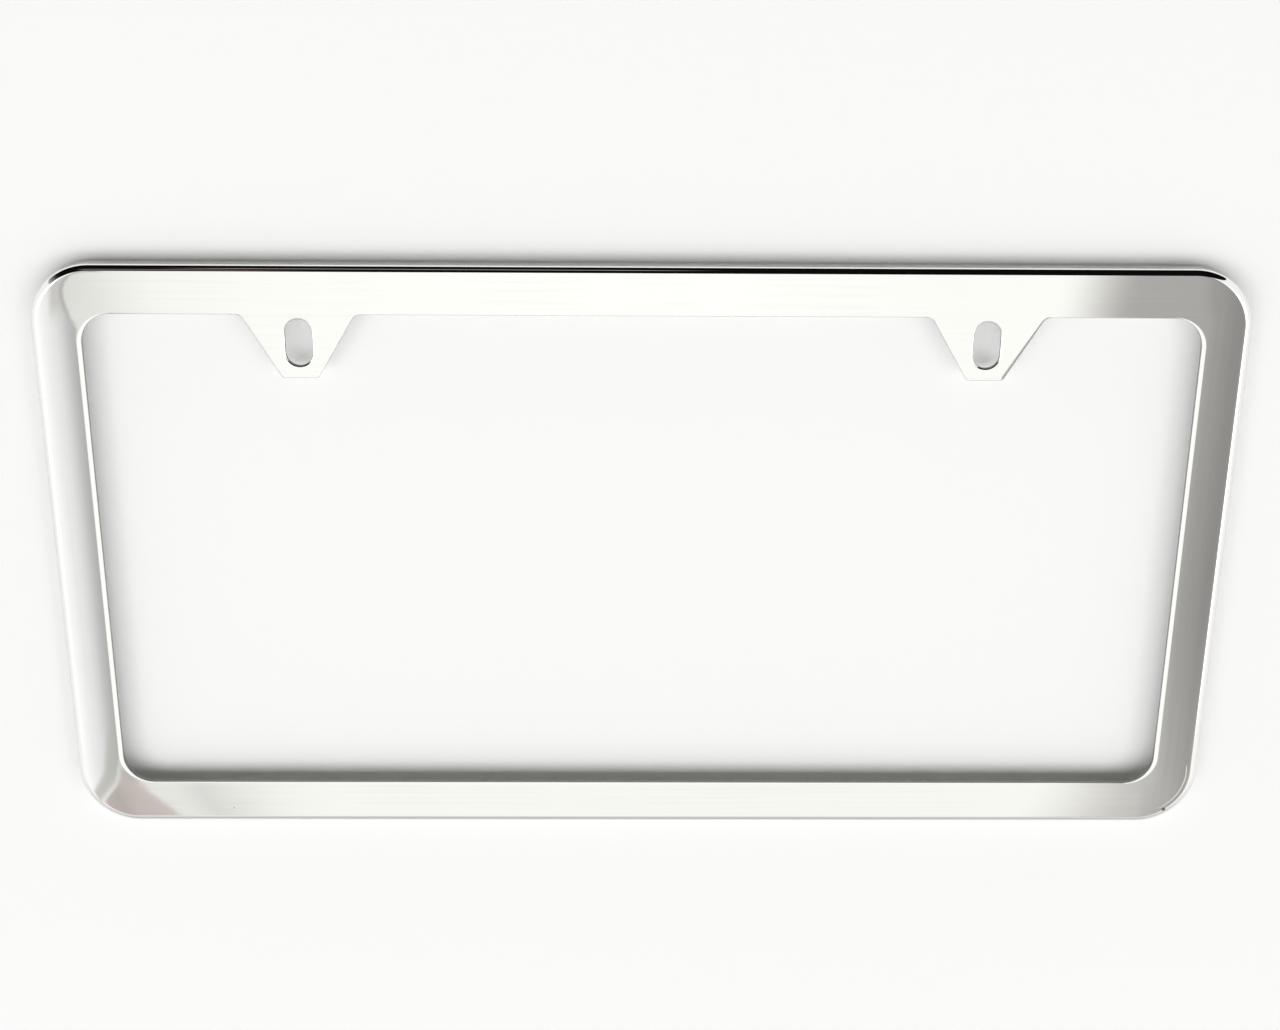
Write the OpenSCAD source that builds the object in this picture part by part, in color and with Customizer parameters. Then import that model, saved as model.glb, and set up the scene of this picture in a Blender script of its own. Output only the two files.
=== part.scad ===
// Holder for a 12 by 6 inch number plate, pressed from one stainless sheet and polished.
// It lies face up: X runs to the right, Y towards the top edge with the two screw tabs,
// Z out of the face. The back rim of the skirt stands on z = 0, and the origin is the
// middle of the outline.

/* [Outline] */
// Outside width of the holder
frame_w = 315; // [300:0.5:340]
// Outside height, from the bottom edge to the top edge
frame_h = 161.5; // [156:0.5:176]
// Depth, from the back rim to the face
depth = 6.3; // [4.5:0.1:12]
// Outside radius of the four corners, seen from the front
corner_r = 16; // [10:0.5:24]

/* [Sheet] */
// Thickness of the sheet
sheet = 1.2; // [1:0.1:1.6]
// Outside radius of the bend between the face and the skirt
bend_r = 2.3; // [1.8:0.1:4]

/* [Window] */
// Width of the four face bars, outside edge to window
bar_w = 12.9; // [10:0.1:16]
// Radius of the window's corners
window_r = 8; // [3:0.5:12]
// Rounding that pressing and polishing leave along the window's front edge
edge_r = 0.5; // [0.3:0.1:1]

/* [Screw slots] */
// Distance between the two slots, as between the plate's own holes
slot_pitch = 177.8; // [165:0.1:190]
// Height of the slots above the middle of the holder, as the plate's upper holes
slot_rise = 60.2; // [57:0.1:63]
// Width of a slot
slot_w = 7; // [6:0.1:8.4]
// Length of a slot, end to end, up and down
slot_len = 12.4; // [9:0.1:16]
// Rounding along a slot's front edge
slot_edge_r = 0.4; // [0.2:0.1:0.8]

/* [Screw tabs] */
// Metal left between a slot and the lower end of its tab
tip_margin = 3.25; // [2:0.05:6]
// Width of a tab at its lower end, measured to the sharp corners
tip_w = 9.4; // [7:0.1:14]
// Lean of a tab's two sides, in degrees from upright
tab_slant = 30.6; // [20:0.2:40]
// Radius of the two corners at the lower end of a tab
tip_r = 1.3; // [1.1:0.1:2.5]
// Radius where the sides of a tab run into the top bar
root_r = 2.5; // [1:0.1:6]

/* [Hidden] */
$fn = 96;
// Window, and the height of its top edge above the middle
window_w = frame_w - 2 * bar_w;
window_h = frame_h - 2 * bar_w;
window_top = window_h / 2;
// How far a tab hangs below the window's top edge, and its width there
tab_len = window_top - (slot_rise - slot_len / 2 - tip_margin);
root_w = tip_w + 2 * tab_len * tan(tab_slant);
// Angle through which the edge turns at the root and at the tip of a tab
turn = 90 - tab_slant;
// From a sharp corner to the start of its curve, at the root and at the tip
root_t = root_r * tan(turn / 2);
tip_t = tip_r * tan(turn / 2);
// Straight part of a tab's side
side_len = tab_len / cos(tab_slant) - root_t - tip_t;
// Straight part of a slot's side
slot_side = slot_len - slot_w;
// How far a cut runs past the metal, so that it leaves no skin
spill = 0.5;
// A tab's curves stand this far off a true tangent, so that each meets its straight
// run at a clean edge, and a rounding tool stands this far off the wall it rounds
ease = 0.01;
// Extra length and extra sweep of the rounding tools at the ends of a tab's side
lap = 0.3;
lap_turn = 12;

module rounded_rect(w, h, r) {
    square([w - 2 * r, h], center = true);
    square([w, h - 2 * r], center = true);
    for (x = [-1, 1]) {
        for (y = [-1, 1]) {
            translate([x * (w / 2 - r), y * (h / 2 - r)])
                circle(r);
        }
    }
}

// What is taken off a sharp front edge to round it. The edge is at the origin,
// the metal lies to the right of it and below.
module rounding_section(r) {
    difference() {
        translate([-spill, -r])
            square([spill + r, r + spill]);
        translate([r, -r])
            circle(r);
    }
}

// Rounding along a straight edge that runs to the right, with the metal above it in plan
module round_straight(run, r) {
    rotate([90, 0, 90])
        linear_extrude(run)
            rounding_section(r);
}

// Rounding along a curved edge with the metal outside the curve, from the X axis on
module round_hollow(radius, r, angle) {
    rotate_extrude(angle = angle)
        translate([radius, 0])
            rounding_section(r);
}

// Rounding along a curved edge with the metal inside the curve, from the X axis on
module round_corner(radius, r, angle) {
    rotate_extrude(angle = angle)
        translate([radius, 0])
            mirror([1, 0])
                rounding_section(r);
}

// Rounding right round the outside of a rounded rectangle
module round_outside(w, h, corner, r) {
    for (half = [0, 180]) {
        rotate(half) {
            translate([corner - w / 2, -h / 2, 0])
                round_straight(w - 2 * corner, r);
            translate([w / 2, corner - h / 2, 0])
                rotate(90)
                    round_straight(h - 2 * corner, r);
            translate([w / 2 - corner, corner - h / 2, 0])
                rotate(-90)
                    round_corner(corner, r, 90);
            translate([w / 2 - corner, h / 2 - corner, 0])
                round_corner(corner, r, 90);
        }
    }
}

// A tray upside down: flat top, straight sides, and a bend of radius r between them
module tray(w, h, corner, base, top, r) {
    difference() {
        translate([0, 0, base])
            linear_extrude(top - base)
                rounded_rect(w, h, corner);
        translate([0, 0, top])
            round_outside(w, h, corner, r);
    }
}

// The pressed shell, still without its window
module shell() {
    difference() {
        tray(frame_w, frame_h, corner_r, 0, depth, bend_r);
        tray(frame_w - 2 * sheet, frame_h - 2 * sheet, corner_r - sheet,
             -spill, depth - sheet, bend_r - sheet);
    }
}

// One side of a tab in plan. The origin is on the window's top edge above the slot.
module half_tab() {
    difference() {
        polygon([
            [0, spill],
            [root_w / 2 + root_t, spill],
            [root_w / 2 + root_t, 0],
            [root_w / 2 - root_t * sin(tab_slant), -root_t * cos(tab_slant)],
            [tip_w / 2 + tip_t * sin(tab_slant), tip_t * cos(tab_slant) - tab_len],
            [tip_w / 2 - tip_t, tip_r - tab_len],
            [tip_w / 2 - tip_t, -tab_len],
            [0, -tab_len]
        ]);
        translate([root_w / 2 + root_t, -root_r])
            circle(root_r + 2 * ease);
    }
    translate([tip_w / 2 - tip_t, tip_r - tab_len])
        circle(tip_r + ease);
}

module tab_outline() {
    half_tab();
    mirror([1, 0])
        half_tab();
}

// The window's outline, with the two tabs standing into it
module window_outline() {
    difference() {
        rounded_rect(window_w, window_h, window_r);
        for (side = [-1, 1]) {
            translate([side * slot_pitch / 2, window_top])
                tab_outline();
        }
    }
}

// A copy of what follows at each tab, from the middle of its root on the front face
module at_tabs() {
    for (side = [-1, 1]) {
        translate([side * slot_pitch / 2, window_top, depth])
            children();
    }
}

// Both sides of a tab
module both_sides() {
    for (side = [0, 1]) {
        mirror([side, 0, 0])
            children();
    }
}

// Rounding where the sides of a tab run into the top bar
module round_root() {
    translate([root_w / 2 + root_t, -root_r, 0])
        rotate(90 - lap_turn)
            round_hollow(root_r + ease, edge_r, turn + 2 * lap_turn);
}

// Rounding along the side of a tab
module round_side() {
    translate([tip_w / 2 + tip_t * sin(tab_slant), tip_t * cos(tab_slant) - tab_len, 0])
        rotate(turn)
            translate([-lap, -ease, 0])
                round_straight(side_len + lap, edge_r);
}

// Rounding round a corner at the lower end of a tab
module round_tip() {
    translate([tip_w / 2 - tip_t, tip_r - tab_len, 0])
        rotate(-90)
            round_corner(tip_r + 2 * ease, edge_r, turn);
}

// Rounding along the lower end of a tab
module round_end() {
    translate([tip_t - tip_w / 2 - lap, -tab_len - ease, 0])
        round_straight(tip_w - 2 * tip_t + 2 * lap, edge_r);
}

// Rounding along the four bars of the window, up to the tabs
module round_window() {
    corner_x = window_w / 2 - window_r;
    corner_y = window_h / 2 - window_r;
    tab_reach = root_w / 2 + root_t;
    tab_x = slot_pitch / 2;
    translate([-corner_x, window_top, 0])
        round_straight(corner_x - tab_x - tab_reach, edge_r);
    translate([tab_reach - tab_x, window_top, 0])
        round_straight(2 * (tab_x - tab_reach), edge_r);
    translate([tab_x + tab_reach, window_top, 0])
        round_straight(corner_x - tab_x - tab_reach, edge_r);
    translate([corner_x, -window_top, 0])
        rotate(180)
            round_straight(2 * corner_x, edge_r);
    for (half = [0, 180]) {
        rotate(half) {
            translate([window_w / 2, corner_y, 0])
                rotate(-90)
                    round_straight(2 * corner_y, edge_r);
            translate([corner_x, corner_y, 0])
                round_hollow(window_r, edge_r, 90);
            translate([corner_x, -corner_y, 0])
                rotate(-90)
                    round_hollow(window_r, edge_r, 90);
        }
    }
}

module slot_outline() {
    square([slot_w, slot_side], center = true);
    for (end = [-1, 1]) {
        translate([0, end * slot_side / 2])
            circle(slot_w / 2);
    }
}

// Rounding round the front edge of one slot
module round_slot() {
    for (half = [0, 180]) {
        rotate(half) {
            translate([slot_w / 2, slot_side / 2, 0])
                rotate(-90)
                    round_straight(slot_side, slot_edge_r);
            translate([0, slot_side / 2, 0])
                round_hollow(slot_w / 2, slot_edge_r, 180);
        }
    }
}

// The shell with its window and slots cut through
module cut_shell() {
    difference() {
        shell();
        translate([0, 0, depth - sheet - spill])
            linear_extrude(sheet + 2 * spill)
                window_outline();
        for (side = [-1, 1]) {
            translate([side * slot_pitch / 2, slot_rise, depth - sheet - spill])
                linear_extrude(sheet + 2 * spill)
                    slot_outline();
        }
    }
}

// The cut shell with the front edges of window and slots rounded
module rounded_shell() {
    difference() {
        cut_shell();
        translate([0, 0, depth])
            round_window();
        for (side = [-1, 1]) {
            translate([side * slot_pitch / 2, slot_rise, depth])
                round_slot();
        }
    }
}

// The tabs are rounded in turn: roots, sides, tips, then the lower ends
module holder() {
    color([0.78, 0.79, 0.8])
        difference() {
            difference() {
                difference() {
                    difference() {
                        rounded_shell();
                        at_tabs() both_sides() round_root();
                    }
                    at_tabs() both_sides() round_side();
                }
                at_tabs() both_sides() round_tip();
            }
            at_tabs() round_end();
        }
}

holder();
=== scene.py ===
import math
import bpy
from mathutils import Matrix, Vector
from mathutils.geometry import delaunay_2d_cdt


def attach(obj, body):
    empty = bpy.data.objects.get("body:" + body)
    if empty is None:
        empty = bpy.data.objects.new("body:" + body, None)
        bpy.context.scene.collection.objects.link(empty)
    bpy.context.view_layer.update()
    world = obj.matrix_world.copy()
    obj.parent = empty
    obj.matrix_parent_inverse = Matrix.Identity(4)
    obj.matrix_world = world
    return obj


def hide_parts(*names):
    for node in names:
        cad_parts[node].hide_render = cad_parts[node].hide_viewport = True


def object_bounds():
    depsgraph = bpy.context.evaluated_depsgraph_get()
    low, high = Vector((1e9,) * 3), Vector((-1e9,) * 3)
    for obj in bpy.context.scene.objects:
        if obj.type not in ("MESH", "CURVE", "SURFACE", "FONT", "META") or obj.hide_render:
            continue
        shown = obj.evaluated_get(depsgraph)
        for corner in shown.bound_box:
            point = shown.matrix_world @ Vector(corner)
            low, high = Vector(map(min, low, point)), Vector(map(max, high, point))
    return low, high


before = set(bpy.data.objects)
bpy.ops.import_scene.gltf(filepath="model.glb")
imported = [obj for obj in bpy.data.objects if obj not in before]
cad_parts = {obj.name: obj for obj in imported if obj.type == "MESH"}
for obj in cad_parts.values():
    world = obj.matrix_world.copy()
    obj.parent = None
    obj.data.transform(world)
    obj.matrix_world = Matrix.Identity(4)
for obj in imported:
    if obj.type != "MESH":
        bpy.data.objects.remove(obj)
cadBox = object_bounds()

mm = 0.001
scene = bpy.context.scene


# The photograph was taken from a little beyond the top edge, looking down on the face.
cameraSetup = {
    "focalPixels": 1900.0,       # focal length in pixels of an image 1280 wide
    "imageWidth": 1280.0,
    "turns": (21.03, 0.71, -0.18),   # degrees about X, Y and Z
    "shift": (0.5, -12.1, -512.1),   # mm, the face's middle as the camera sees it
}


def addCamera(setup, faceHeight):
    data = bpy.data.cameras.new("photoCamera")
    data.sensor_width = 36.0
    data.lens = setup["focalPixels"] / setup["imageWidth"] * data.sensor_width
    data.clip_start = 0.01
    camera = bpy.data.objects.new("photoCamera", data)
    scene.collection.objects.link(camera)
    turnX, turnY, turnZ = (math.radians(a) for a in setup["turns"])
    turned = (Matrix.Rotation(turnZ, 4, "Z") @ Matrix.Rotation(turnY, 4, "Y")
              @ Matrix.Rotation(turnX, 4, "X"))
    seen = Matrix.Translation(Vector(setup["shift"]) * mm) @ turned
    camera.matrix_world = Matrix.Translation((0, 0, faceHeight)) @ seen.inverted()
    scene.camera = camera


# Sizes of the pressed sheet in mm. The outside comes from the frame. The rest is as in the
# part's source, or as in the photograph where the source is plainer.
width, height, depth = (round((high - low) / mm, 3) for low, high in zip(*cadBox))
holder = {
    "width": width,
    "height": height,
    "depth": depth,
    "cornerRadius": 16.0,
    "sheet": 1.2,
    "topSet": 0.35,          # the top edge is drawn in by this much
    "bendRadius": 2.5,       # the bend starts wide from the face,
    "foldRadius": 0.16,      # and is tight
    "foldAngle": 40.0,       # where its outside looks less than this above level
    "innerRadius": 0.8,      # of the bend, on its hidden side
    "skirtLean": 1.5,        # degrees by which the skirt turns in towards its foot
    "sideBar": 12.8,         # widths of the face, from the outside to the window
    "topBar": 13.1,
    "bottomBar": 12.9,
    "windowRadius": 8.0,
    "rollWidth": 1.25,       # width of the window's drawn edge, at its left and right,
    "rollDrop": 0.18,        # and its depth
    "rollSmall": 0.3,        # share of both at its upper and lower edge and round the tabs
    "tabLean": 0.4,          # share of the depth that is left round the tabs
    "tabWorn": 0.7,          # the right tab is polished down further on its outer side,
    "wornLean": 0.6,         # and keeps this share of its depth there
    "slotPitch": 177.8,
    "slotRise": 60.2,
    "slotWidth": 7.0,
    "slotLength": 12.4,
    "slotShort": 0.0005,     # a slot's ends are this much short of full round
    "slotRollWidth": 0.5,
    "slotRollDrop": 0.15,
    "slotCutRadius": 0.16,
    "cutRadius": 0.1,        # the sharp edge left by the punch
    "tipMargin": 3.25,
    "tipWidth": 9.4,
    "tabSlant": 30.6,
    "tipRadius": 1.3,
    "rootRadius": 2.5,
    "burr": 0.12,            # rounding of the sheet's cut back edges
    "crown": 0.22,           # how far the face falls away at the bend
    "crownReach": 9.5,       # and over what width
    "crownFoot": 2.2,        # what lies further below the face than this isn't crowned
    "arcStep": 4.0,          # degrees between points on a curve
    "runStep": 2.5,          # mm between points on a straight run
    "faceStep": 1.9,         # mm between points inside the face
    "netGap": 0.6,           # how far they keep off its edges, in steps of their own
    "faceRows": 2.4,         # width of the even rows along the bend
    "rowSteps": 4,
    "bendSteps": 14,         # parts of a section: the wide bend,
    "foldSteps": 10,         # the tight fold,
    "innerSteps": 8,         # the bend's hidden side,
    "rimSteps": 4,           # each back edge of the skirt,
    "rollSteps": 8,          # the roll of an opening,
    "cutSteps": 5,           # its sharp corner,
    "backSteps": 3,          # and its back edge
}

addCamera(cameraSetup, holder["depth"] * mm)
print("camera set")


# Neighbours lie on one straight run if the cosine between their directions is above this.
sameWay = 0.9999999


# Outlines are lists of (x, y, nx, ny) in mm, where n points into the metal. A corner is
# (x, y, radius), and side is 1 where the metal lies outside the outline, else -1.
def outline(s, corners, side):
    count = len(corners)
    points = []
    for i, (x, y, radius) in enumerate(corners):
        here = Vector((x, y))
        back = (Vector(corners[i - 1][:2]) - here).normalized()
        ahead = (Vector(corners[(i + 1) % count][:2]) - here).normalized()
        half = back.angle(ahead) / 2
        reach = radius / math.tan(half)
        centre = here + (back + ahead).normalized() * radius / math.sin(half)
        first = here + back * reach - centre
        last = here + ahead * reach - centre
        turn = first.angle_signed(last)          # clockwise positive
        parts = max(2, round(math.degrees(abs(turn)) / s["arcStep"]))
        bulge = 1 if turn < 0 else -1            # 1 where the path turns left
        for k in range(parts + 1):
            a = -turn * k / parts
            spoke = Matrix.Rotation(a, 2) @ first
            out = spoke.normalized() * bulge * side
            spot = centre + spoke
            points.append((spot.x, spot.y, out.x, out.y))
    full = []
    for i, p in enumerate(points):
        q = points[(i + 1) % len(points)]
        full.append(p)
        gap = math.hypot(q[0] - p[0], q[1] - p[1])
        straight = p[2] * q[2] + p[3] * q[3] > sameWay
        parts = max(1, round(gap / s["runStep"])) if straight else 1
        for k in range(1, parts):
            t = k / parts
            full.append((p[0] + (q[0] - p[0]) * t, p[1] + (q[1] - p[1]) * t, p[2], p[3]))
    return full


def outerOutline(s):
    x, bottom, r = s["width"] / 2, -s["height"] / 2, s["cornerRadius"]
    top = s["height"] / 2 - s["topSet"]
    corners = [(x, bottom, r), (x, top, r), (-x, top, r), (-x, bottom, r)]
    return outline(s, corners, -1)


# How far a point lies inside the outer outline, and which way is outwards there.
def outerInset(s, x, y):
    r = s["cornerRadius"]
    top = s["height"] / 2 - s["topSet"]
    dx = abs(x) - s["width"] / 2 + r
    dy = max(y - top, -y - s["height"] / 2) + r
    if dx > 0 and dy > 0:
        away = math.hypot(dx, dy)
        return r - away, math.copysign(dx / away, x), math.copysign(dy / away, y)
    if dx > dy:
        return r - dx, math.copysign(1.0, x), 0.0
    return r - dy, 0.0, math.copysign(1.0, y)


# Way from the outline to where the flat of the face starts.
def bendReach(s):
    fold = s["foldRadius"]
    return (s["bendRadius"] - fold) * math.cos(math.radians(s["foldAngle"])) + fold


# Right, upper and lower edge of the window, and the height of the tabs' ends.
def windowEdges(s):
    return (s["width"] / 2 - s["sideBar"], s["height"] / 2 - s["topBar"],
            s["bottomBar"] - s["height"] / 2,
            s["slotRise"] - s["slotLength"] / 2 - s["tipMargin"])


def windowOutline(s):
    x, top, bottom, tip = windowEdges(s)
    halfTip = s["tipWidth"] / 2
    halfRoot = halfTip + (top - tip) * math.tan(math.radians(s["tabSlant"]))
    r, root, end = s["windowRadius"], s["rootRadius"], s["tipRadius"]
    corners = [(x, bottom, r), (x, top, r)]
    for side in (1, -1):
        tab = side * s["slotPitch"] / 2
        corners += [(tab + halfRoot, top, root), (tab + halfTip, tip, end),
                    (tab - halfTip, tip, end), (tab - halfRoot, top, root)]
    corners += [(-x, top, r), (-x, bottom, r)]
    return outline(s, corners, 1)


def slotOutline(s, side):
    x, y = side * s["slotPitch"] / 2, s["slotRise"]
    w, h = s["slotWidth"] / 2, s["slotLength"] / 2
    r = w - s["slotShort"]
    corners = [(x + w, y - h, r), (x + w, y + h, r), (x - w, y + h, r), (x - w, y - h, r)]
    return outline(s, corners, 1)


# Fall of the face and its slope, from the distance to the outer outline.
def crownAt(s, x, y):
    inset, outX, outY = outerInset(s, x, y)
    reach = s["crownReach"]
    short = min(bendReach(s) + reach - inset, reach)
    if short <= 0:
        return 0.0, 0.0, 0.0
    slope = -2 * s["crown"] * short / reach ** 2
    return -s["crown"] * (short / reach) ** 2, slope * outX, slope * outY


class SheetMesh:
    def __init__(self, sizes):
        self.sizes = sizes
        self.known = {}
        self.points = []
        self.normals = []
        self.faces = []
        self.finish = []

    # Adds a point, or finds the one that is already there. All but the skirt is crowned.
    def add(self, x, y, z, nx, ny, nz):
        key = (round(x, 5), round(y, 5), round(z, 5))
        if key in self.known:
            return self.known[key]
        if z > self.sizes["depth"] - self.sizes["crownFoot"]:
            fall, slopeX, slopeY = crownAt(self.sizes, x, y)
            z += fall
            nx, ny = nx - slopeX * nz, ny - slopeY * nz
        self.points.append(Vector((x, y, z)) * mm)
        self.normals.append(Vector((nx, ny, nz)).normalized())
        self.known[key] = len(self.points) - 1
        return self.known[key]

    # Sweeps a section along an outline. A section is a list of
    # (inset, z, normal along the inset, normal up), laid from the face outwards.
    # It may also be a list of such sections, one for each point of the outline.
    def sweep(self, path, section, finish, flip=False):
        many = isinstance(section[0], list)
        rows = []
        for k in range(len(section[0] if many else section)):
            row = []
            for i, (x, y, nx, ny) in enumerate(path):
                inset, z, along, up = section[i][k] if many else section[k]
                row.append(self.add(x + nx * inset, y + ny * inset, z, nx * along, ny * along, up))
            rows.append(row)
        count = len(path)
        for upper, lower in zip(rows, rows[1:]):
            for i in range(count):
                j = (i + 1) % count
                quad = [upper[i], lower[i], lower[j], upper[j]]
                quad = [q for k, q in enumerate(quad) if q != quad[k - 1]]
                if len(quad) > 2:
                    self.faces.append(quad[::-1] if flip else quad)
                    self.finish.append(finish)

    # Fills the metal between outlines at one height, on a fine net of triangles.
    def fill(self, rings, z, up, finish, step):
        spots, edges = [], []
        for ring in rings:
            first = len(spots)
            spots += [Vector((x, y)) for x, y in ring]
            edges += [(first + i, first + (i + 1) % len(ring)) for i in range(len(ring))]
        outer, holes = rings[0], rings[1:]
        reachX = self.sizes["width"] / 2
        reachY = self.sizes["height"] / 2
        rise = step * math.sqrt(3) / 2
        rows = int(2 * reachY / rise)
        for j in range(rows + 1):
            y = -reachY + j * rise
            shift = step / 2 if j % 2 else 0.0
            for i in range(int(2 * reachX / step) + 1):
                x = -reachX + i * step + shift
                if farInside(self.sizes, x, y, step * self.sizes["netGap"]):
                    spots.append(Vector((x, y)))
        closeBy, allTriangles = 1e-7, 0
        places, _, triangles = delaunay_2d_cdt(spots, edges, [], allTriangles, closeBy)[:3]
        index = {}
        for triangle in triangles:
            a, b, c = (places[i] for i in triangle)
            middle = (a + b + c) / 3
            if not isInside(outer, middle) or any(isInside(hole, middle) for hole in holes):
                continue
            for i in triangle:
                if i not in index:
                    index[i] = self.add(*places[i], z, 0, 0, up)
            corners = [index[i] for i in triangle]
            turnsLeft = (b - a).cross(c - a) > 0
            self.faces.append(corners if turnsLeft == (up > 0) else corners[::-1])
            self.finish.append(finish)

    def build(self, name, materials):
        mesh = bpy.data.meshes.new(name)
        mesh.from_pydata(self.points, [], self.faces)
        for material in materials:
            mesh.materials.append(material)
        mesh.polygons.foreach_set("material_index", self.finish)
        mesh.polygons.foreach_set("use_smooth", [True] * len(self.faces))
        mesh.update()
        mesh.normals_split_custom_set_from_vertices(self.normals)
        piece = bpy.data.objects.new(name, mesh)
        scene.collection.objects.link(piece)
        return piece


def isInside(ring, spot):
    x, y = spot
    inside = False
    for i, (ax, ay) in enumerate(ring):
        bx, by = ring[i - 1]
        if (ay > y) != (by > y) and x < (bx - ax) * (y - ay) / (by - ay) + ax:
            inside = not inside
    return inside


# True where a point of the net lies well inside the metal of the face.
def farInside(s, x, y, margin):
    if outerInset(s, x, y)[0] < bendReach(s) + s["faceRows"] + margin:
        return False
    side, top, bottom, tip = windowEdges(s)
    rim = s["rollWidth"] + margin
    fromSlot = abs(abs(x) - s["slotPitch"] / 2)
    pastSlot = max(abs(y - s["slotRise"]) - (s["slotLength"] - s["slotWidth"]) / 2, 0.0)
    if math.hypot(fromSlot, pastSlot) < s["slotWidth"] / 2 + s["slotRollWidth"] + margin:
        return False
    if abs(x) > side + rim or y > top + rim or y < bottom - rim:
        return True
    # corners of the window
    r = s["windowRadius"]
    wx, wy = abs(x) - (side - r), max(y - (top - r), bottom + r - y)
    if wx > 0 and wy > 0 and math.hypot(wx, wy) > r + rim:
        return True
    # tabs
    slant = math.radians(s["tabSlant"])
    halfWidth = s["tipWidth"] / 2 + (y - tip) * math.tan(slant)
    return y > tip + rim and fromSlot < halfWidth - rim / math.cos(slant)


# The bend from the face down to the skirt, wide first and then tight.
def bendSection(s):
    wide, fold, start = s["bendRadius"], s["foldRadius"], bendReach(s)
    change = math.radians(s["foldAngle"])
    section = []
    for k in range(s["bendSteps"] + 1):
        a = math.pi / 2 + (change - math.pi / 2) * k / s["bendSteps"]
        section.append((start - wide * math.cos(a), s["depth"] - wide + wide * math.sin(a),
                        -math.cos(a), math.sin(a)))
    level = s["depth"] - wide + (wide - fold) * math.sin(change)
    for k in range(1, s["foldSteps"] + 1):
        a = change - (change + math.radians(s["skirtLean"])) * k / s["foldSteps"]
        section.append((fold - fold * math.cos(a), level + fold * math.sin(a),
                        -math.cos(a), math.sin(a)))
    return section


# The front edge of an opening: a shallow drawn roll, then a nearly sharp corner.
def rollOver(s, width, drop, cut):
    top = s["depth"]
    lean = math.atan(2 * drop / width)
    start = cut * (1 - math.sin(lean))
    roll = []
    for k in range(s["rollSteps"] + 1):
        u = k / s["rollSteps"]
        a = math.atan(2 * drop * u / (width - start))
        roll.append((width + (start - width) * u, top - drop * u * u, -math.sin(a), math.cos(a)))
    corner = roll[-1:]
    for k in range(1, s["cutSteps"] + 1):
        a = lean + (math.pi / 2 - lean) * k / s["cutSteps"]
        corner.append((cut * (1 - math.sin(a)), top - drop - cut * (math.cos(lean) - math.cos(a)),
                       -math.sin(a), math.cos(a)))
    return roll, corner


# A small quarter round from a wall to the back face.
def roundUnder(radius, base, steps):
    section = []
    for k in range(steps + 1):
        a = math.radians(90.0 * k / steps)
        section.append((radius * (1 - math.cos(a)), base + radius * (1 - math.sin(a)),
                        -math.cos(a), -math.sin(a)))
    return section


# Shares of the window's roll at a point of its outline: width and drop.
def rollShare(s, x, y, nx):
    small = s["rollSmall"]
    side, top, _, tip = windowEdges(s)
    if abs(x) > side - s["windowRadius"]:
        share = small + (1 - small) * nx * nx
        return share, share
    metalOnLeft = nx < -0.5
    if x > s["slotPitch"] / 2 and y > 0 and metalOnLeft:
        share = small + s["tabWorn"] * max(0.0, 1 - (y - tip) / (top - tip))
        return share, share * s["tabLean"] * s["wornLean"]
    return small, small * s["tabLean"]


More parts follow.
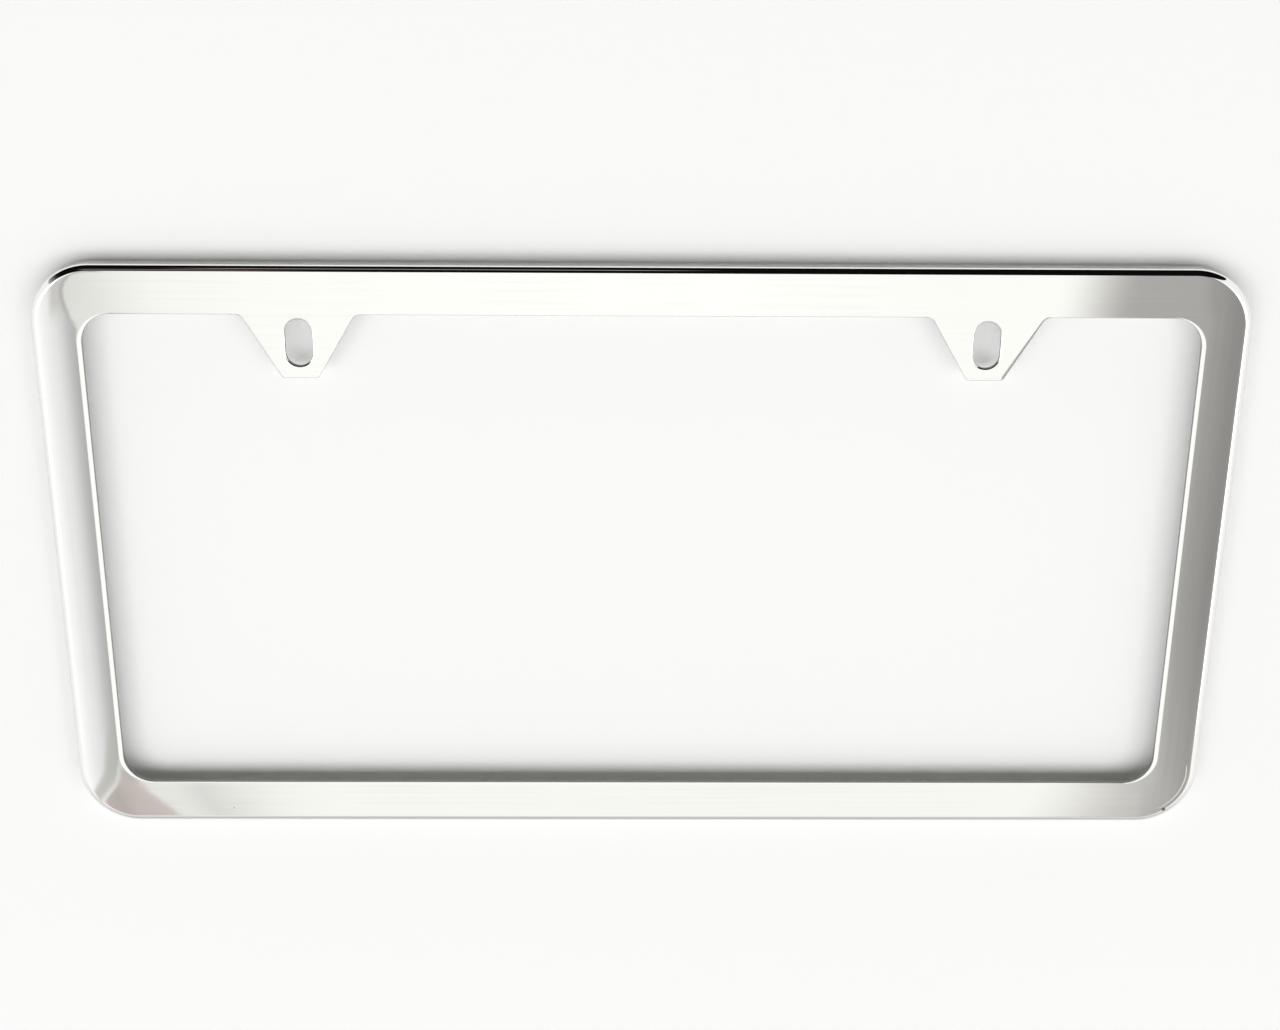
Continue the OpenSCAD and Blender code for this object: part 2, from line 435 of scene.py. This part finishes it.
def buildHolder(s, materials):
    made = SheetMesh(s)
    polished, rolled, punched = range(3)      # their places in the list of materials
    outer, window = outerOutline(s), windowOutline(s)
    slots = [slotOutline(s, side) for side in (-1, 1)]
    top, under, burr = s["depth"], s["depth"] - s["sheet"], s["burr"]
    inner, lean = s["innerRadius"], math.radians(s["skirtLean"])

    def ringAt(path, inset):
        return [(x + nx * inset, y + ny * inset) for x, y, nx, ny in path]

    # outside: bend, skirt, rim
    bend = bendSection(s)
    edge, foot = bend[-1], bend[-1][0] + (bend[-1][1] - burr) * math.tan(lean)
    rim = roundUnder(burr, 0.0, s["rimSteps"])
    made.sweep(outer, bend, polished)
    made.sweep(outer, [edge, (foot, burr, edge[2], edge[3])], polished)
    made.sweep(outer, [(foot + i, z, a, u) for i, z, a, u in rim], polished)
    heel = foot + s["sheet"]
    made.sweep(outer, [(foot + burr, 0, 0, -1), (heel - burr, 0, 0, -1)], rolled)
    # inside of the skirt and of the bend
    made.sweep(outer, [(heel - i, z, -a, u) for i, z, a, u in rim[::-1]], rolled)
    hollow = []
    middle = heel - (under - inner - burr) * math.tan(lean) + inner
    for k in range(s["innerSteps"] + 1):
        a = -lean + (math.pi / 2 + lean) * k / s["innerSteps"]
        hollow.append((middle - inner * math.cos(a), under - inner + inner * math.sin(a),
                       math.cos(a), -math.sin(a)))
    made.sweep(outer, [(heel, burr, math.cos(lean), math.sin(lean)), hollow[0]], rolled)
    made.sweep(outer, hollow, rolled)
    # window and slots: front edge, wall, back edge
    cuts = [(window, s["rollWidth"], s["rollDrop"], s["cutRadius"],
             [rollShare(s, x, y, nx) for x, y, nx, ny in window])]
    cuts += [(path, s["slotRollWidth"], s["slotRollDrop"], s["slotCutRadius"],
              [(1.0, 1.0)] * len(path)) for path in slots]
    rings = []
    for path, wide, drop, cut, shares in cuts:
        edges = [rollOver(s, wide * f, drop * g, cut) for f, g in shares]
        made.sweep(path, [roll for roll, corner in edges], polished, flip=True)
        made.sweep(path, [corner + [(0, under + burr, -1, 0)] for roll, corner in edges],
                   punched, flip=True)
        made.sweep(path, roundUnder(burr, under, s["backSteps"]), punched, flip=True)
        rings.append([(x + nx * wide * f, y + ny * wide * f)
                      for (f, g), (x, y, nx, ny) in zip(shares, path)])
    # the face: a few even rows along the bend, then a net of triangles
    start, rows, count = bendReach(s), s["faceRows"], s["rowSteps"]
    made.sweep(outer, [(start + rows * (1 - k / count), top, 0, 1) for k in range(count + 1)],
               polished)
    made.fill([ringAt(outer, start + rows)] + rings, top, 1, polished, s["faceStep"])
    back = [ringAt(outer, middle)] + [ringAt(path, burr) for path in [window] + slots]
    made.fill(back, under, -1, rolled, s["faceStep"] * 2)
    print("holder mesh:", len(made.points), "points,", len(made.faces), "faces")
    return made.build("polishedHolder", materials)


# One wire of a shader. Numbers and other wires can be added to it, and so on.
class Wire:
    def __init__(self, graph, socket):
        self.graph = graph
        self.socket = socket

    def maths(self, operation, *values):
        return self.graph.node("ShaderNodeMath", {"operation": operation},
                               dict(enumerate(values)))

    def __add__(self, other):
        return self.maths("ADD", self, other)

    def __radd__(self, other):
        return self.maths("ADD", other, self)

    def __sub__(self, other):
        return self.maths("SUBTRACT", self, other)

    def __rsub__(self, other):
        return self.maths("SUBTRACT", other, self)

    def __mul__(self, other):
        return self.maths("MULTIPLY", self, other)

    def __rmul__(self, other):
        return self.maths("MULTIPLY", other, self)

    def __truediv__(self, other):
        return self.maths("DIVIDE", self, other)

    def __rtruediv__(self, other):
        return self.maths("DIVIDE", other, self)

    def __neg__(self):
        return self.maths("MULTIPLY", self, -1.0)

    def __abs__(self):
        return self.maths("ABSOLUTE", self)

    def __gt__(self, other):
        return self.maths("GREATER_THAN", self, other)

    def __lt__(self, other):
        return self.maths("LESS_THAN", self, other)

    def root(self):
        return self.maths("SQRT", self)

    # 0 below low, 1 above high, and a smooth rise between them
    def rise(self, low, high):
        return self.graph.node("ShaderNodeMapRange", {"interpolation_type": "SMOOTHSTEP"},
                               {"Value": self, "From Min": low, "From Max": high})

    # 1 between low and high, 0 outside
    def between(self, low, high, soft):
        return self.rise(low - soft, low + soft) * (1.0 - self.rise(high - soft, high + soft))


bumpDepth = 0.02 * mm      # height of the finest marks in a metal


# The nodes of one material, or of the world.
class Graph:
    def __init__(self, owner):
        owner.use_nodes = True
        self.tree = owner.node_tree
        self.tree.nodes.clear()

    def node(self, kind, settings, sockets, output=0):
        made = self.tree.nodes.new(kind)
        for name, value in settings.items():
            if name == "stops":
                self.setStops(made.color_ramp, value)
            else:
                setattr(made, name, value)
        for name, value in sockets.items():
            socket = made.inputs[name]
            if isinstance(value, Wire):
                self.tree.links.new(value.socket, socket)
            else:
                socket.default_value = value
        return Wire(self, made.outputs[output]) if made.outputs else made

    def setStops(self, ramp, stops):
        while len(ramp.elements) < len(stops):
            ramp.elements.new(1.0)
        for element, (place, color) in zip(ramp.elements, stops):
            element.position = place
            element.color = (*color, 1)

    def place(self, space="Object"):
        return self.node("ShaderNodeTexCoord", {}, {}, space)

    def split(self, vector):
        made = self.node("ShaderNodeSeparateXYZ", {}, {"Vector": vector}).socket.node
        return [Wire(self, made.outputs[axis]) for axis in "XYZ"]

    def stretched(self, vector, scale):
        return self.node("ShaderNodeMapping", {}, {"Vector": vector, "Scale": scale})

    def noise(self, vector, scale, detail, rough):
        return self.node("ShaderNodeTexNoise", {"noise_dimensions": "3D"},
                         {"Vector": vector, "Scale": scale, "Detail": detail, "Roughness": rough})

    # Colours are wires, or (red, green, blue).
    def mixed(self, amount, first, second):
        first, second = [c if isinstance(c, Wire) else (*c, 1) for c in (first, second)]
        return self.node("ShaderNodeMix", {"data_type": "RGBA"},
                         {"Factor": amount, 6: first, 7: second}, 2)

    def scaled(self, vector, amount):
        return self.node("ShaderNodeVectorMath", {"operation": "SCALE"},
                         {"Vector": vector, "Scale": amount})

    def times(self, first, second):
        return self.node("ShaderNodeVectorMath", {"operation": "MULTIPLY"},
                         {0: first, 1: second})

    # A row of (place, level) along a value, as a color ramp.
    def levels(self, value, stops, tint=(1, 1, 1)):
        low, high = stops[0][0], stops[-1][0]
        span, peak = high - low, 2.0      # a ramp's own colors stay below 1
        colors = [((at - low) / span, tuple(level * t / peak for t in tint))
                  for at, level in stops]
        ramp = self.node("ShaderNodeValToRGB", {"stops": colors}, {"Fac": (value - low) / span})
        return self.scaled(ramp, peak)

    def bump(self, strength, height, **under):
        return self.node("ShaderNodeBump", {}, {"Strength": strength, "Distance": bumpDepth,
                                                "Height": height, **under})

    # The last nodes of a metal and of a light.
    def finishMetal(self, sockets):
        metal = self.node("ShaderNodeBsdfPrincipled", {}, {"Metallic": 1.0, **sockets})
        self.node("ShaderNodeOutputMaterial", {}, {"Surface": metal})

    def finishLight(self, color, level=1.0):
        light = self.node("ShaderNodeEmission", {}, {"Color": color, "Strength": level})
        self.node("ShaderNodeOutputMaterial", {}, {"Surface": light})


polishedSteel = {
    "color": (0.84, 0.84, 0.825),
    "deep": (0.80, 0.80, 0.785),      # where the polish is a little duller
    "roughness": 0.03,
    "haze": 0.02,                     # roughness that the polishing wheel leaves in bands
    "lineScale": (14, 900),           # the wheel's lines, along a bar and across it
    "lineTurn": 1.0,                  # they turn upright this far inside the window's edge
    "lineHaze": (0.35, 0.75),         # levels of the lines between which the haze sets in
    "lineBump": 0.007,
    "cloudScale": 38.0,               # the haze comes in clouds
    "cloudHaze": (0.3, 0.7),
    # small dark marks: x and y in mm, radius, darkness. The larger, on the bend at the lower right
    # corner, is the painted dark reflection of a small dent
    "specks": [(149.3, -76.5, 0.75, 0.85), (-114.9, -76.3, 0.30, 0.5)],
    "speckColor": (0.10, 0.08, 0.07),
    "speckCore": 0.4,                 # share of the radius that is dark all over
    # a scratch that runs round the lower right corner, this far inside the outline
    "scratchInset": 3.1,
    "scratchWidth": 0.2,
    "scratchBump": 0.3,
    "scratchFadeX": (-3.0, 2.0),      # its two ends, from the middle of the corner's curve
    "scratchFadeY": (-4.0, 1.0),
}


# Mirror polish with the faint lines that the wheel leaves along each bar.
def makePolishedSteel(look, s):
    material = bpy.data.materials.new("polishedSteel")
    graph = Graph(material)
    spot = graph.place()
    x, y = graph.split(spot)[:2]
    upright = abs(x) > (s["width"] / 2 - s["sideBar"] - look["lineTurn"]) * mm
    along, across = look["lineScale"]
    lines = graph.node("ShaderNodeMix", {"data_type": "VECTOR"},
                       {"Factor": upright, 4: graph.stretched(spot, (along, across, across)),
                        5: graph.stretched(spot, (across, along, across))}, 1)
    marks = graph.noise(lines, scale=1.0, detail=4.0, rough=0.6)
    clouds = graph.noise(spot, scale=look["cloudScale"], detail=2.0, rough=0.5)
    haze = marks.rise(*look["lineHaze"]) * clouds.rise(*look["cloudHaze"])
    color = graph.mixed(haze, look["color"], look["deep"])

    def distance(fromX, fromY):
        return (fromX * fromX + fromY * fromY).root()

    # painted dark reflection of a dent on the lower right bend, and a smaller dark mark on the
    # lower bend
    for atX, atY, radius, dark in look["specks"]:
        away = distance(x - atX * mm, y - atY * mm)
        speck = 1.0 - away.rise(radius * look["speckCore"] * mm, radius * mm)
        color = graph.mixed(speck * dark, color, look["speckColor"])
    # the scratch, from its distance to the middle of the corner's curve
    cornerX = x - (s["width"] / 2 - s["cornerRadius"]) * mm
    cornerY = y + (s["height"] / 2 - s["cornerRadius"]) * mm
    inset = (s["cornerRadius"] - look["scratchInset"]) * mm
    half = look["scratchWidth"] * mm / 2
    scratch = distance(cornerX, cornerY).between(inset - half, inset + half, half)
    scratch = scratch * cornerX.rise(*(end * mm for end in look["scratchFadeX"]))
    scratch = scratch * (-cornerY).rise(*(end * mm for end in look["scratchFadeY"]))
    bump = graph.bump(look["lineBump"], marks)
    graph.finishMetal({"Base Color": color, "Roughness": look["roughness"] + haze * look["haze"],
                       "Normal": graph.bump(look["scratchBump"], scratch, Normal=bump)})
    return material


millSteel = {
    "color": (0.87, 0.87, 0.85),
    "dark": (0.79, 0.79, 0.77),
    "roughness": 0.24,
    "spread": 0.2,                    # of the roughness, over the grain
    "grainScale": (30, 500, 500),
    "grainBump": 0.15,
}


# The back keeps the rolled finish of the sheet, dull and slightly streaked.
def makeMillSteel(look):
    material = bpy.data.materials.new("millSteel")
    graph = Graph(material)
    lines = graph.stretched(graph.place(), look["grainScale"])
    grain = graph.noise(lines, scale=1.0, detail=5.0, rough=0.65)
    graph.finishMetal({"Base Color": graph.mixed(grain, look["color"], look["dark"]),
                       "Roughness": look["roughness"] + (grain - 0.5) * look["spread"],
                       "Normal": graph.bump(look["grainBump"], grain)})
    return material


cutSteel = {
    "color": (0.32, 0.32, 0.31),
    "dark": (0.22, 0.22, 0.21),
    "roughness": 0.22,
    "spread": 0.08,
    "grainScale": 1400.0,
}


# The punched edges of window and slots are duller and darker than the polished face.
def makeCutSteel(look):
    material = bpy.data.materials.new("cutSteel")
    graph = Graph(material)
    grain = graph.noise(graph.place(), scale=look["grainScale"], detail=3.0, rough=0.6)
    graph.finishMetal({"Base Color": graph.mixed(grain, look["color"], look["dark"]),
                       "Roughness": look["roughness"] + grain * look["spread"]})
    return material


steels = [makePolishedSteel(polishedSteel, holder), makeMillSteel(millSteel),
          makeCutSteel(cutSteel)]
polishedHolder = buildHolder(holder, steels)
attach(polishedHolder, "root")
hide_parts("holder")
print("holder in place")


# The table, the soft box above it and the lamps beside it. Places are metres, levels are
# brightness, and colours are (red, green, blue) at level 1.
studio = {
    "tableSize": 8.0,
    "tableColor": 0.96,
    "tableSeen": 0.955,       # its colour for the camera and in the metal
    # the rise towards the upper edge is painted light, making up for the lamps' fall-off there
    "tableNear": 0.955,       # share of that at the lower edge of the picture,
    "tableRise": 0.075,       # and what is added towards the upper edge
    "tableFade": 0.16,
    "boxHeight": 2.0,
    "boxNear": -2.0,
    "boxFar": 0.36,
    "boxHalf": 3.5,
    "light": 1.06,            # of the room all round
    "horizon": 0.55,          # of the room's wall beyond the lower side, near the table,
    "horizonStart": 0.55,     # which sets in at this share of the way there
    "lampGap": 0.05,          # lamps and shades hang this far below the box
    "lampLevel": 3.35,        # two lamps, left and right of the flags
    "lampLeft": (-2.25, -1.08),
    "lampRight": (1.20, 2.35),
    "lampAbove": 2.4,         # one over the table, which the metal doesn't show
    "lampHalf": 1.0,
    "lampNear": -1.15,
    "lampFar": 0.12,          # from here to the dark side no light reaches the table
    "shadeLevel": 0.18,
    "shadeColor": (1.0, 0.995, 0.86),
}

# What the soft box shows the metal. A flag is a grey card in front of it, and a list
# holds (place, level), from left to right.
softBox = {
    # left: a grey flag that fades outwards, with a clear edge towards the middle
    "flagShade": [(-0.985, 1.17), (-0.94, 1.05), (-0.90, 0.98), (-0.86, 0.91), (-0.82, 0.79),
                  (-0.78, 0.64), (-0.745, 0.54), (-0.70, 0.50)],
    "flagShadeLow": [(-0.985, 1.17), (-0.945, 0.95), (-0.905, 0.55), (-0.82, 0.51),
                     (-0.76, 0.57), (-0.70, 0.63)],
    "flagTintLow": (1.09, 0.98, 0.93),
    "flagTintFade": (-0.97, -0.90),
    # here from the upper side to the lower one: the edge's distance from the middle
    "flagEdge": [(0.20, 0.68), (0.225, 0.74), (0.24, 0.785), (0.28, 0.813), (0.325, 0.823),
                 (0.37, 0.815), (0.424, 0.792), (0.467, 0.761), (0.491, 0.735), (0.56, 0.712),
                 (1.10, 0.712), (1.20, 0.70), (1.44, 0.683)],
    "flagEdgeSoft": 0.006,
    "pastFlag": [(-0.80, 0.85), (-0.70, 0.92), (-0.66, 1.03), (-0.62, 1.11), (-0.58, 1.14),
                 (-0.50, 1.17), (-0.15, 1.22), (0.15, 1.22), (0.40, 1.17)],
    "pastFlagLow": [(-0.68, 0.95), (-0.655, 0.94), (-0.62, 0.83), (-0.58, 0.93), (-0.54, 1.02),
                    (-0.50, 1.08), (-0.42, 1.12)],
    "pastFlagTint": (1.00, 1.00, 0.968),
    # towards the dark side the flag is deeper, with a thin dark line along its edge
    "deepColor": (0.66, 0.65, 0.625),
    "deepShare": 0.85,
    "deepFadeX": (-0.915, -0.875),
    "deepFadeY": (-0.50, -0.38),
    "lineColor": (0.48, 0.47, 0.44),
    "lineShare": 0.7,
    "lineInset": 0.009,
    "lineSoft": (0.002, 0.018),
    "lineFadeY": (-0.52, -0.42),
    # a slanting streak near the lower side: where it passes, and the way across it
    "streakAt": (-0.74, -1.156),
    "streakAcross": (0.79, -0.612),
    "streakColor": (1.0, 1.0, 0.95),
    "streakShare": 0.7,
    "streakHalf": 0.014,
    "streakFade": (1.08, 1.15),       # where it sets in, towards the lower side
    "streakEnd": (0.70, 0.74),        # and towards the left
    # a darker band on its left, and what lies to the right of it, lower down
    "bandColor": (0.57, 0.555, 0.515),
    "bandShare": 0.8,
    "bandSpan": (-0.075, -0.012),
    "bandSoft": 0.02,
    "bandFade": (1.02, 1.16),
    "lowFade": (1.13, 1.20),
    "lowSide": (-0.010, 0.004),
    # the lowest part of the box
    "footColor": (1.08, 1.08, 1.07),
    "footFade": (1.60, 1.85),
    # right: a darker flag, a little lighter towards the lower side
    "darkFlag": [(0.68, 0.48), (0.78, 0.465), (0.84, 0.40), (0.92, 0.36), (1.00, 0.315),
                 (1.045, 0.31), (1.085, 1.14)],
    "darkFlagTint": (1.025, 1.00, 0.965),
    "darkGain": 0.42,
    "darkGainFade": (0.85, 1.40),
    "darkGainEnd": (1.045, 1.085),
    # its edge leans to the right and grows softer: at the top, and what is added below
    "darkEdge": (0.630, 0.070),
    "darkEdgeSoft": (0.056, 0.044),
    "darkEdgeFade": (0.40, 1.20),
}

# The dark side of the room, from the far end of the soft box down towards the table.
darkSide = {
    "foot": 0.22,
    "far": 0.88,
    "lean": 0.2,              # its upper right corner lies this far in
    # from its left end to its right end
    "levels": [(-1.60, 0.50), (-1.35, 0.22), (-1.15, 0.02), (-1.0, 0.004), (1.15, 0.004)],
    # two faint lights in the dark: a line, and a reddish patch to the left of it
    "soft": 0.04,             # of both, at their left and right ends
    "line": (0.56, 0.55, 0.52),
    "lineSpan": (-0.33, 0.04),
    "lineRise": (0.71, 0.79),
    "lineSoft": 0.02,
    "patch": (0.17, 0.13, 0.12),
    "patchSpan": (-0.62, -0.34),
    "patchRise": (1.00, 1.40),
    "patchSoft": 0.08,
}


def stagePanel(name, corners, material, shown=False, reflected=True):
    mesh = bpy.data.meshes.new(name)
    mesh.from_pydata([Vector(c) for c in corners], [], [(0, 1, 2, 3)])
    mesh.materials.append(material)
    panel = bpy.data.objects.new(name, mesh)
    scene.collection.objects.link(panel)
    panel.visible_camera = shown
    panel.visible_glossy = reflected
    panel.visible_transmission = reflected


# White paper. What the camera and the metal see of it has its own brightness, with painted light
# that rises towards the upper edge, where the lamps give the table less.
def makeTableMaterial(look):
    material = bpy.data.materials.new("whiteTable")
    graph = Graph(material)
    path = graph.node("ShaderNodeLightPath", {}, {}).socket.node
    camera, glossy, through = [Wire(graph, path.outputs[f"Is {ray} Ray"])
                               for ray in ("Camera", "Glossy", "Transmission")]
    seen = camera + glossy + through
    y = graph.split(graph.place())[1]
    # painted light: the seen colour rises towards the upper edge, making up for the lamps' fall-off
    # there
    gain = look["tableRise"] * y.rise(-look["tableFade"], look["tableFade"])
    even = look["tableSeen"] * (look["tableNear"] + gain)
    color = look["tableColor"] + (even - look["tableColor"]) * seen
    paper = graph.node("ShaderNodeBsdfDiffuse", {}, {"Color": color})
    graph.node("ShaderNodeOutputMaterial", {}, {"Surface": paper})
    return material


# The left part of the soft box, with its flag.
def leftFlag(graph, look, x, y):
    down = -y       # grows towards the lower side
    (atX, atY), (acrossX, acrossY) = look["streakAt"], look["streakAcross"]
    side = (x - atX) * acrossX + (y - atY) * acrossY      # from the streak, to the right
    low = down.rise(*look["lowFade"]) * side.rise(*look["lowSide"])
    tint = graph.mixed(x.rise(*look["flagTintFade"]), (1, 1, 1), look["flagTintLow"])
    shade = graph.mixed(low, graph.levels(x, look["flagShade"]),
                        graph.times(graph.levels(x, look["flagShadeLow"]), tint))
    past = graph.mixed(low, graph.levels(x, look["pastFlag"], look["pastFlagTint"]),
                       graph.levels(x, look["pastFlagLow"], look["pastFlagTint"]))
    edge = x + graph.split(graph.levels(down, look["flagEdge"]))[0]
    deep = y.rise(*look["deepFadeY"]) * x.rise(*look["deepFadeX"])
    shade = graph.mixed(deep * look["deepShare"], shade, look["deepColor"])
    soft = look["flagEdgeSoft"]
    left = graph.mixed(edge.rise(-soft, soft), shade, past)
    line = 1.0 - abs(edge + look["lineInset"]).rise(*look["lineSoft"])
    left = graph.mixed(line * y.rise(*look["lineFadeY"]) * look["lineShare"], left,
                       look["lineColor"])
    left = graph.mixed(down.rise(*look["footFade"]), left, look["footColor"])
    end = (-x).rise(*look["streakEnd"])
    band = side.between(*look["bandSpan"], look["bandSoft"]) * down.rise(*look["bandFade"])
    left = graph.mixed(band * look["bandShare"] * end, left, look["bandColor"])
    streak = (1.0 - abs(side).rise(0.0, look["streakHalf"])) * down.rise(*look["streakFade"])
    return graph.mixed(streak * look["streakShare"] * end, left, look["streakColor"])


# The right flag, over what lies to the left of it.
def rightFlag(graph, look, x, y, left):
    down = -y
    gain = look["darkGain"] * down.rise(*look["darkGainFade"])
    dark = graph.scaled(graph.levels(x, look["darkFlag"], look["darkFlagTint"]),
                        1.0 + gain * (1.0 - x.rise(*look["darkGainEnd"])))
    lean = down.rise(*look["darkEdgeFade"])
    place, more = look["darkEdge"]
    soft, softer = look["darkEdgeSoft"]
    start = (x - (place + more * lean)) / (soft + softer * lean)
    return graph.mixed(start.rise(-1.0, 1.0), left, dark)


def makeBoxMaterial(look):
    material = bpy.data.materials.new("softBox")
    graph = Graph(material)
    x, y = graph.split(graph.place())[:2]
    graph.finishLight(rightFlag(graph, look, x, y, leftFlag(graph, look, x, y)))
    return material


def makePlainLight(name, level, color=(1, 1, 1)):
    material = bpy.data.materials.new(name)
    Graph(material).finishLight((*color, 1), level)
    return material


def makeDarkMaterial(look):
    material = bpy.data.materials.new("darkSide")
    graph = Graph(material)
    x, _, z = graph.split(graph.place())
    color = graph.levels(x, look["levels"])
    for light in ("line", "patch"):
        mask = (z.between(*look[light + "Rise"], look[light + "Soft"])
                * x.between(*look[light + "Span"], look["soft"]))
        color = graph.mixed(mask, color, look[light])
    graph.finishLight(color)
    return material


def setStage(look, box, dark):
    size, half, high = look["tableSize"] / 2, look["boxHalf"], look["boxHeight"]
    near, far, under = look["boxNear"], look["boxFar"], look["boxHeight"] - look["lampGap"]
    foot, back = dark["foot"], dark["far"]
    first, last = dark["levels"][0][0], dark["levels"][-1][0]

    # four corners, at height z, from left to right and from the lower side to the upper one
    def flat(left, right, lower, upper, z):
        return [(left, lower, z), (right, lower, z), (right, upper, z), (left, upper, z)]

    stagePanel("table", flat(-size, size, -size, size, 0), makeTableMaterial(look), shown=True)
    stagePanel("softBox", [(-half, near, high), (-half, far, high), (half, far, high),
                           (half, near, high)], makeBoxMaterial(box))
    stagePanel("darkSide", [(first, back, foot), (last, back, foot),
                            (last - dark["lean"], far, high), (first, far, high)],
               makeDarkMaterial(dark))
    lampNear, lampFar, wide = look["lampNear"], look["lampFar"], look["lampHalf"]
    for name in ("lampLeft", "lampRight"):
        stagePanel(name, flat(*look[name], lampNear, lampFar, under),
                   makePlainLight(name, look["lampLevel"]))
    stagePanel("lampAbove", flat(-wide, wide, lampNear, lampFar, under),
               makePlainLight("lampAbove", look["lampAbove"]), reflected=False)
    # no light reaches the table from behind the upper edge
    shade = makePlainLight("lampShade", look["shadeLevel"], look["shadeColor"])
    stagePanel("shadeAbove", flat(-half, half, lampFar, far, under), shade, reflected=False)
    stagePanel("shadeBehind", [(-half, back, foot), (half, back, foot), (half, far, under),
                               (-half, far, under)], shade, reflected=False)


def setWorld(look):
    world = bpy.data.worlds.new("studio")
    scene.world = world
    graph = Graph(world)
    y = graph.split(graph.place("Generated"))[1]
    dim = graph.node("ShaderNodeMapRange", {}, {"Value": -y, "From Min": look["horizonStart"]})
    sky = graph.node("ShaderNodeBackground", {}, {
        "Color": (1, 1, 1, 1), "Strength": look["light"] + (look["horizon"] - look["light"]) * dim})
    graph.node("ShaderNodeOutputWorld", {}, {"Surface": sky})


setStage(studio, softBox, darkSide)
setWorld(studio)
scene.view_settings.view_transform = "Standard"
print("stage and light set")
